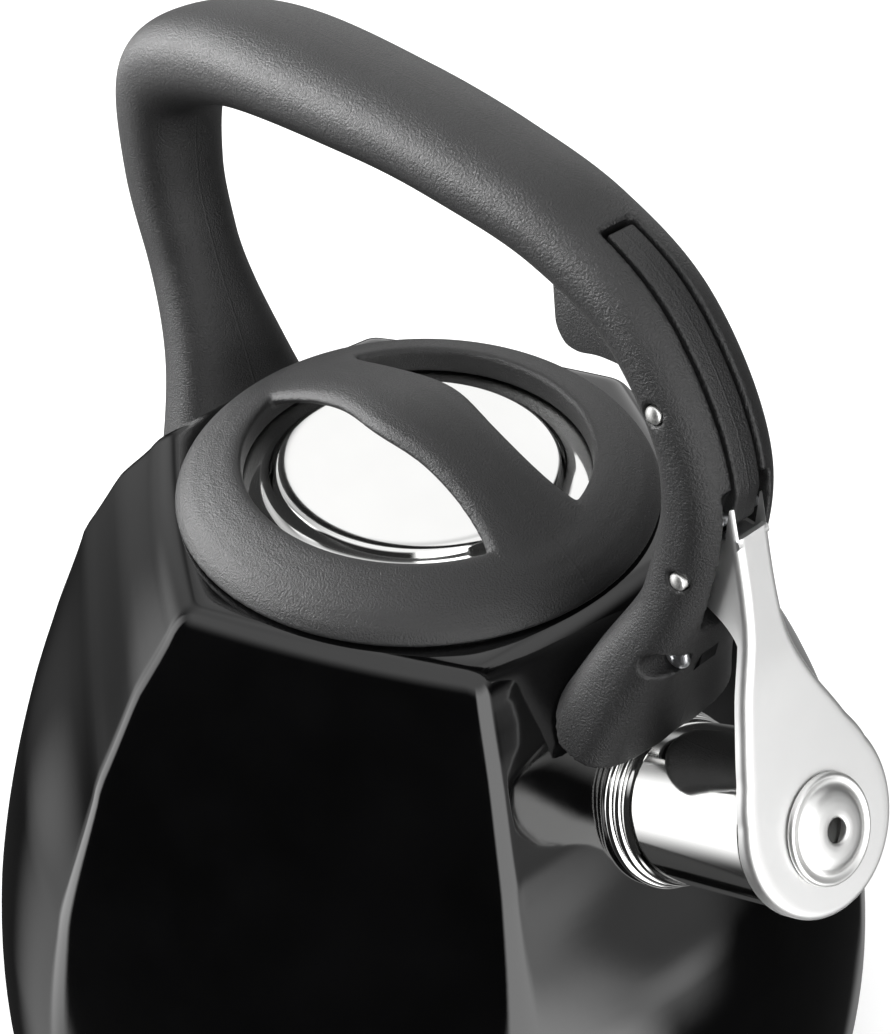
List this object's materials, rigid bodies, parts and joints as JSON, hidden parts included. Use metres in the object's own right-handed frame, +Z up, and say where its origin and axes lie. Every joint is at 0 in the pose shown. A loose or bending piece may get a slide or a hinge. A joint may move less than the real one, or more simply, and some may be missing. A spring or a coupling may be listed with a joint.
{
  "type": "whistling kettle",
  "caption": "Stovetop kettle with a hexagonal shoulder, lift-off lid, arched fixed handle and a trigger that swings the whistling spout cover open.",
  "frame": {"origin": "centre of the flat base", "axes": "+Z up, +X towards the spout, the handle and the trigger linkage lie in the XZ plane"},
  "size_m": [0.2103, 0.2036, 0.2433],
  "materials": {
    "enamel": "glossy black vitreous enamel",
    "phenolic": "fine-textured matte black phenolic",
    "mirror_steel": "polished stainless steel",
    "satin_steel": "satin stainless steel",
    "zinc_steel": "zinc-plated steel",
    "silicone": "matte black silicone"
  },
  "bodies": {
    "kettle": {"body_shell": "enamel", "base_pan": "enamel", "spout_tube": "mirror_steel", "spout_collar": "mirror_steel", "handle": "phenolic", "front_bracket": "zinc_steel", "rear_bracket": "zinc_steel", "front_foot_screw": "zinc_steel", "rear_foot_screw": "zinc_steel", "trigger_pin": "mirror_steel", "cover_pin": "mirror_steel", "cover_spring": "zinc_steel"},
    "lid": {"lid_ring": "phenolic", "lid_pan": "mirror_steel", "lid_screw_front": "zinc_steel", "lid_screw_rear": "zinc_steel"},
    "trigger": {"trigger_lever": "phenolic", "link_pin": "zinc_steel"},
    "cover": {"cover_arm": "satin_steel", "whistle_front": "mirror_steel", "whistle_barrel": "satin_steel", "whistle_back": "satin_steel", "spout_seal": "silicone"}
  },
  "joints": [
    {"name": "lid_lift", "type": "slide", "parent": "kettle", "child": "lid", "axis": [0, 0, 1], "range_m": [0, 0.03]},
    {"name": "trigger_hinge", "type": "hinge", "parent": "kettle", "child": "trigger", "pos_m": [0.0658, 0, 0.2142], "axis": [0, 1, 0], "range_deg": [0, 10]},
    {"name": "cover_hinge", "type": "hinge", "parent": "kettle", "child": "cover", "pos_m": [0.0732, 0, 0.1866], "axis": [0, -1, 0], "range_deg": [0, 21], "stiffness_Nm_per_rad": 0.05, "springref_deg": -34.38}
  ],
  "couplings": [
    {"joint": "cover_hinge", "follows": "trigger_hinge", "ratio": 2.1}
  ]
}
